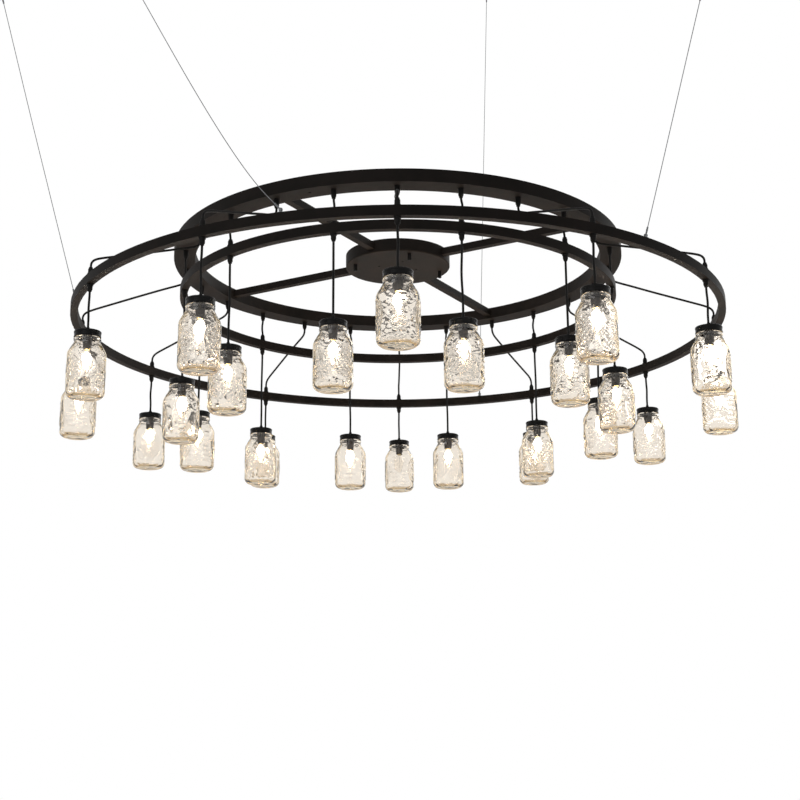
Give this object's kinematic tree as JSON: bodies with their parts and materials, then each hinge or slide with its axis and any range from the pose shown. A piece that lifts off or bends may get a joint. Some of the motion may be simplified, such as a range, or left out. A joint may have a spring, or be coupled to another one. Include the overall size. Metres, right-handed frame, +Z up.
{
  "type": "wagon wheel chandelier",
  "caption": "Black steel wagon wheel with two plain rings hung below it and clear glass jar pendants on cords, held up by thin steel cables.",
  "frame": {"origin": "centre of the hub's back face, where the ceiling fixing bolts on", "axes": "+Z up towards the ceiling, -Y towards the picture's camera, +X to the picture's right; azimuths are counted from -Y towards +X"},
  "size_m": [2.0677, 2.0579, 2.072],
  "materials": {
    "black_steel": "satin black powder coat",
    "black_fittings": "matt black moulded nylon and black screws",
    "black_cord": "black rubber sheathed cord",
    "steel_cable": "stranded bright steel",
    "steel_fittings": "zinc plated steel",
    "lamp_parts": "black lid, socket and cord",
    "jar_glass": "clear pressed glass"
  },
  "bodies": {
    "root": {"hub_plate": "black_steel", "hub_pan": "black_steel", "fixings": "black_fittings", "spokes": "black_steel", "wheel_channel": "black_steel", "wheel_cover": "black_steel", "middle_ring": "black_steel", "outer_ring": "black_steel", "cord_grips": "black_fittings", "feed_cords": "black_cord", "suspension_cables": "steel_cable", "cable_fittings": "steel_fittings"},
    "outer_pendant_1": {"outer_lamp_1": "lamp_parts", "outer_jar_1": "jar_glass"},
    "outer_pendant_2": {"outer_lamp_2": "lamp_parts", "outer_jar_2": "jar_glass"},
    "outer_pendant_3": {"outer_lamp_3": "lamp_parts", "outer_jar_3": "jar_glass"},
    "outer_pendant_4": {"outer_lamp_4": "lamp_parts", "outer_jar_4": "jar_glass"},
    "outer_pendant_5": {"outer_lamp_5": "lamp_parts", "outer_jar_5": "jar_glass"},
    "outer_pendant_6": {"outer_lamp_6": "lamp_parts", "outer_jar_6": "jar_glass"},
    "outer_pendant_7": {"outer_lamp_7": "lamp_parts", "outer_jar_7": "jar_glass"},
    "outer_pendant_8": {"outer_lamp_8": "lamp_parts", "outer_jar_8": "jar_glass"},
    "outer_pendant_9": {"outer_lamp_9": "lamp_parts", "outer_jar_9": "jar_glass"},
    "outer_pendant_10": {"outer_lamp_10": "lamp_parts", "outer_jar_10": "jar_glass"},
    "outer_pendant_11": {"outer_lamp_11": "lamp_parts", "outer_jar_11": "jar_glass"},
    "outer_pendant_12": {"outer_lamp_12": "lamp_parts", "outer_jar_12": "jar_glass"},
    "middle_pendant_1": {"middle_lamp_1": "lamp_parts", "middle_jar_1": "jar_glass"},
    "middle_pendant_2": {"middle_lamp_2": "lamp_parts", "middle_jar_2": "jar_glass"},
    "middle_pendant_3": {"middle_lamp_3": "lamp_parts", "middle_jar_3": "jar_glass"},
    "middle_pendant_4": {"middle_lamp_4": "lamp_parts", "middle_jar_4": "jar_glass"},
    "middle_pendant_5": {"middle_lamp_5": "lamp_parts", "middle_jar_5": "jar_glass"},
    "middle_pendant_6": {"middle_lamp_6": "lamp_parts", "middle_jar_6": "jar_glass"},
    "middle_pendant_7": {"middle_lamp_7": "lamp_parts", "middle_jar_7": "jar_glass"},
    "middle_pendant_8": {"middle_lamp_8": "lamp_parts", "middle_jar_8": "jar_glass"},
    "middle_pendant_9": {"middle_lamp_9": "lamp_parts", "middle_jar_9": "jar_glass"},
    "middle_pendant_10": {"middle_lamp_10": "lamp_parts", "middle_jar_10": "jar_glass"},
    "middle_pendant_11": {"middle_lamp_11": "lamp_parts", "middle_jar_11": "jar_glass"},
    "middle_pendant_12": {"middle_lamp_12": "lamp_parts", "middle_jar_12": "jar_glass"}
  },
  "joints": [
    {"name": "outer_swing_1", "type": "hinge", "parent": "root", "child": "outer_pendant_1", "pos_m": [0, -0.905, -0.252], "axis": [1, 0, 0], "range_deg": [-20, 20]},
    {"name": "outer_swing_2", "type": "hinge", "parent": "root", "child": "outer_pendant_2", "pos_m": [0.4525, -0.78375, -0.252], "axis": [0.866, 0.5, 0], "range_deg": [-20, 20]},
    {"name": "outer_swing_3", "type": "hinge", "parent": "root", "child": "outer_pendant_3", "pos_m": [0.78375, -0.4525, -0.252], "axis": [0.5, 0.866, 0], "range_deg": [-20, 20]},
    {"name": "outer_swing_4", "type": "hinge", "parent": "root", "child": "outer_pendant_4", "pos_m": [0.905, 0, -0.252], "axis": [0, 1, 0], "range_deg": [-20, 20]},
    {"name": "outer_swing_5", "type": "hinge", "parent": "root", "child": "outer_pendant_5", "pos_m": [0.78375, 0.4525, -0.252], "axis": [-0.5, 0.866, 0], "range_deg": [-20, 20]},
    {"name": "outer_swing_6", "type": "hinge", "parent": "root", "child": "outer_pendant_6", "pos_m": [0.4525, 0.78375, -0.252], "axis": [-0.866, 0.5, 0], "range_deg": [-20, 20]},
    {"name": "outer_swing_7", "type": "hinge", "parent": "root", "child": "outer_pendant_7", "pos_m": [0, 0.905, -0.252], "axis": [-1, 0, 0], "range_deg": [-20, 20]},
    {"name": "outer_swing_8", "type": "hinge", "parent": "root", "child": "outer_pendant_8", "pos_m": [-0.4525, 0.78375, -0.252], "axis": [-0.866, -0.5, 0], "range_deg": [-20, 20]},
    {"name": "outer_swing_9", "type": "hinge", "parent": "root", "child": "outer_pendant_9", "pos_m": [-0.78375, 0.4525, -0.252], "axis": [-0.5, -0.866, 0], "range_deg": [-20, 20]},
    {"name": "outer_swing_10", "type": "hinge", "parent": "root", "child": "outer_pendant_10", "pos_m": [-0.905, 0, -0.252], "axis": [0, -1, 0], "range_deg": [-20, 20]},
    {"name": "outer_swing_11", "type": "hinge", "parent": "root", "child": "outer_pendant_11", "pos_m": [-0.78375, -0.4525, -0.252], "axis": [0.5, -0.866, 0], "range_deg": [-20, 20]},
    {"name": "outer_swing_12", "type": "hinge", "parent": "root", "child": "outer_pendant_12", "pos_m": [-0.4525, -0.78375, -0.252], "axis": [0.866, -0.5, 0], "range_deg": [-20, 20]},
    {"name": "middle_swing_1", "type": "hinge", "parent": "root", "child": "middle_pendant_1", "pos_m": [0.15788, -0.58922, -0.172], "axis": [0.9659, 0.2588, 0], "range_deg": [-20, 20]},
    {"name": "middle_swing_2", "type": "hinge", "parent": "root", "child": "middle_pendant_2", "pos_m": [0.43134, -0.43134, -0.172], "axis": [0.7071, 0.7071, 0], "range_deg": [-20, 20]},
    {"name": "middle_swing_3", "type": "hinge", "parent": "root", "child": "middle_pendant_3", "pos_m": [0.58922, -0.15788, -0.172], "axis": [0.2588, 0.9659, 0], "range_deg": [-20, 20]},
    {"name": "middle_swing_4", "type": "hinge", "parent": "root", "child": "middle_pendant_4", "pos_m": [0.58922, 0.15788, -0.172], "axis": [-0.2588, 0.9659, 0], "range_deg": [-20, 20]},
    {"name": "middle_swing_5", "type": "hinge", "parent": "root", "child": "middle_pendant_5", "pos_m": [0.43134, 0.43134, -0.172], "axis": [-0.7071, 0.7071, 0], "range_deg": [-20, 20]},
    {"name": "middle_swing_6", "type": "hinge", "parent": "root", "child": "middle_pendant_6", "pos_m": [0.15788, 0.58922, -0.172], "axis": [-0.9659, 0.2588, 0], "range_deg": [-20, 20]},
    {"name": "middle_swing_7", "type": "hinge", "parent": "root", "child": "middle_pendant_7", "pos_m": [-0.15788, 0.58922, -0.172], "axis": [-0.9659, -0.2588, 0], "range_deg": [-20, 20]},
    {"name": "middle_swing_8", "type": "hinge", "parent": "root", "child": "middle_pendant_8", "pos_m": [-0.43134, 0.43134, -0.172], "axis": [-0.7071, -0.7071, 0], "range_deg": [-20, 20]},
    {"name": "middle_swing_9", "type": "hinge", "parent": "root", "child": "middle_pendant_9", "pos_m": [-0.58922, 0.15788, -0.172], "axis": [-0.2588, -0.9659, 0], "range_deg": [-20, 20]},
    {"name": "middle_swing_10", "type": "hinge", "parent": "root", "child": "middle_pendant_10", "pos_m": [-0.58922, -0.15788, -0.172], "axis": [0.2588, -0.9659, 0], "range_deg": [-20, 20]},
    {"name": "middle_swing_11", "type": "hinge", "parent": "root", "child": "middle_pendant_11", "pos_m": [-0.43134, -0.43134, -0.172], "axis": [0.7071, -0.7071, 0], "range_deg": [-20, 20]},
    {"name": "middle_swing_12", "type": "hinge", "parent": "root", "child": "middle_pendant_12", "pos_m": [-0.15788, -0.58922, -0.172], "axis": [0.9659, -0.2588, 0], "range_deg": [-20, 20]}
  ]
}
